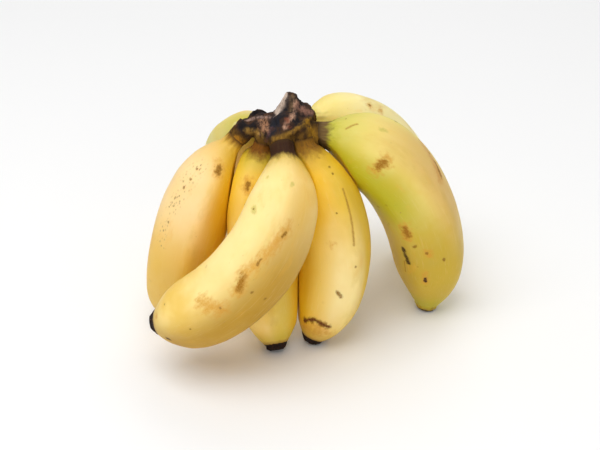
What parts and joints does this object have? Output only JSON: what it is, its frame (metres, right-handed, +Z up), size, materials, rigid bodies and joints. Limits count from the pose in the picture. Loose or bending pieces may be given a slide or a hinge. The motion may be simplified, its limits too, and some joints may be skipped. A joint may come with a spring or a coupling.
{
  "type": "hand of bananas",
  "caption": "Hand of short plump bananas joined at one dried crown, standing on its blossom ends.",
  "frame": {"origin": "on the surface that the fruit stands on, under the middle of its bounding box", "axes": "+X to the right across the hand's widest side, +Y to the back, +Z up from the blossom ends to the crown"},
  "size_m": [0.1514, 0.1408, 0.116],
  "materials": {
    "ripe_peel": "waxy ripe banana peel, warm yellow with a few brown flecks, brown neck and near-black blossom end",
    "half_ripe_peel": "waxy banana peel that is still green along one side, with brown scars",
    "dried_crown": "dried, wrinkled fibrous crown, dark brown to black, paler where it was cut"
  },
  "bodies": {
    "root": {"crown": "dried_crown", "finger_front": "ripe_peel", "finger_middle": "ripe_peel", "finger_front_right": "ripe_peel", "finger_right": "half_ripe_peel", "finger_back_right": "ripe_peel", "finger_back_left": "half_ripe_peel", "finger_left": "ripe_peel"}
  },
  "joints": []
}
